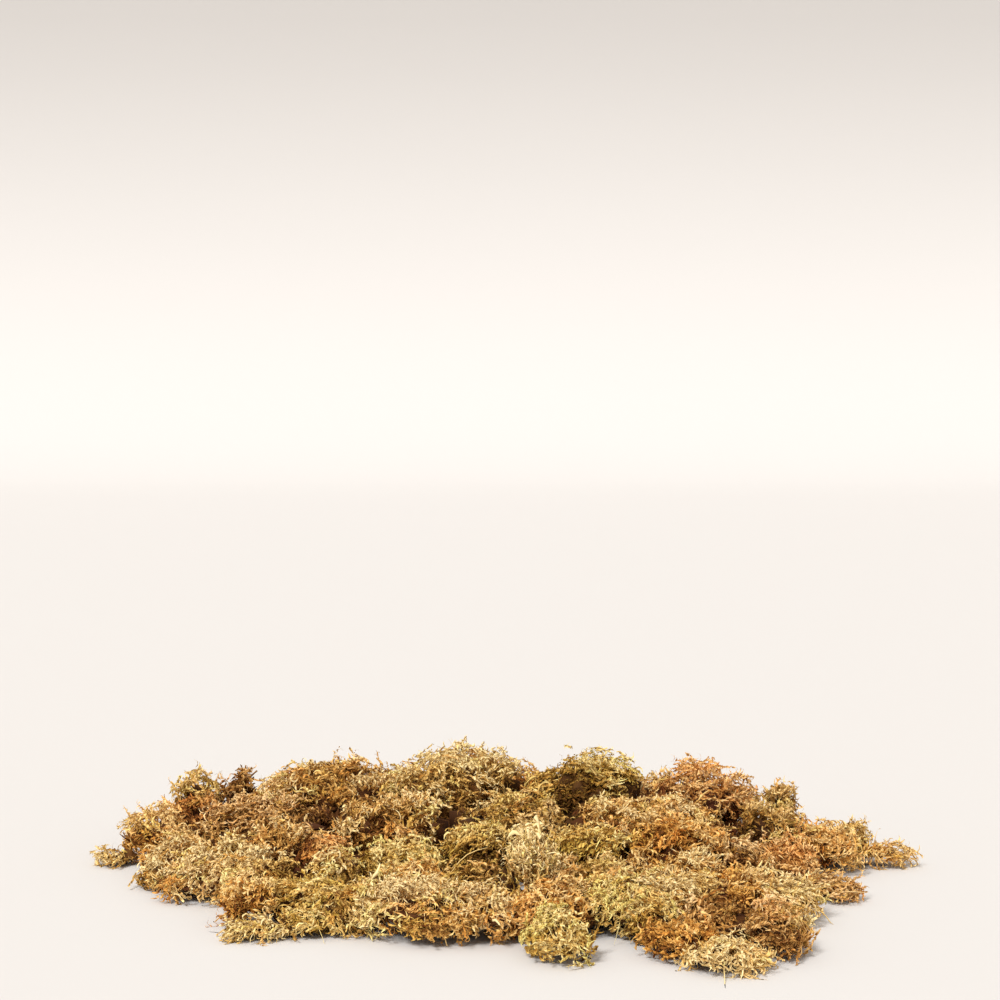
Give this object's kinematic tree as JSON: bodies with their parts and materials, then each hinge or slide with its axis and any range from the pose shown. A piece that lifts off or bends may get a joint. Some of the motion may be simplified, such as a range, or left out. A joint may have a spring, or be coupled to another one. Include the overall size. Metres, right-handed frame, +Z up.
{
  "type": "moss clump",
  "caption": "Low, loose heap of dried sphagnum moss in golden, straw, olive and rust wads, for lining pots or baskets and covering soil.",
  "frame": {"origin": "on the surface that the clump lies on, under the middle of its bounding box", "axes": "+X to the right along the clump's wide front, +Y from its front to its back, +Z up"},
  "size_m": [0.2928, 0.2428, 0.0353],
  "materials": {
    "straw_moss": "matt, pale straw-coloured dried moss strands",
    "golden_moss": "matt, golden dried moss strands",
    "lemon_moss": "matt, yellow-green dried moss strands",
    "olive_moss": "matt, olive-brown dried moss strands",
    "orange_moss": "matt, orange-tan dried moss strands",
    "rust_moss": "matt, rust-brown dried moss strands",
    "brown_moss": "matt, dark brown dried moss strands"
  },
  "bodies": {
    "root": {"front_sheet": "golden_moss", "front_lump": "lemon_moss", "front_ochre_wad": "orange_moss", "yellow_green_wad": "lemon_moss", "pale_yellow_wad": "straw_moss", "hanging_lump": "lemon_moss", "dark_stem_wad": "brown_moss", "orange_front_wad": "orange_moss", "straw_fringe": "straw_moss", "brown_corner_wad": "brown_moss", "orange_ridge": "orange_moss", "pale_green_wad": "straw_moss", "left_front_wad": "golden_moss", "orange_curl": "orange_moss", "yellow_braid": "lemon_moss", "left_fringe": "straw_moss", "fringe_tuft": "lemon_moss", "straw_cascade": "straw_moss", "low_left_wad": "golden_moss", "pale_left_wad": "straw_moss", "edge_fringe": "straw_moss", "straw_left_wad": "straw_moss", "left_peak": "golden_moss", "brown_peak_side": "rust_moss", "straw_tuft": "straw_moss", "lemon_lumps": "lemon_moss", "orange_tuft": "orange_moss", "olive_wad": "olive_moss", "green_roll": "lemon_moss", "pale_tuft": "straw_moss", "arch_braid": "lemon_moss", "olive_brown_wad": "olive_moss", "rust_mound": "orange_moss", "gold_slope": "golden_moss", "brown_slope": "brown_moss", "red_brown_wad": "rust_moss", "small_tail": "brown_moss", "left_ochre_wad": "orange_moss", "rust_wad": "rust_moss", "left_knob": "olive_moss", "brown_knob": "brown_moss", "far_left_tuft": "straw_moss", "right_olive_wad": "olive_moss", "right_knob": "olive_moss", "orange_right_wad": "orange_moss", "pale_top_wad": "straw_moss", "right_tail": "orange_moss", "inner_left_wad": "brown_moss", "inner_middle_left_wad": "golden_moss", "inner_middle_right_wad": "olive_moss", "inner_right_wad": "golden_moss", "crown_left_wad": "golden_moss", "crown_wad": "straw_moss", "crown_right_wad": "lemon_moss", "right_shoulder_wad": "rust_moss", "back_corner_wad": "golden_moss", "back_left_wad": "olive_moss", "back_wad": "orange_moss", "back_right_wad": "golden_moss", "back_tail": "straw_moss"}
  },
  "joints": []
}
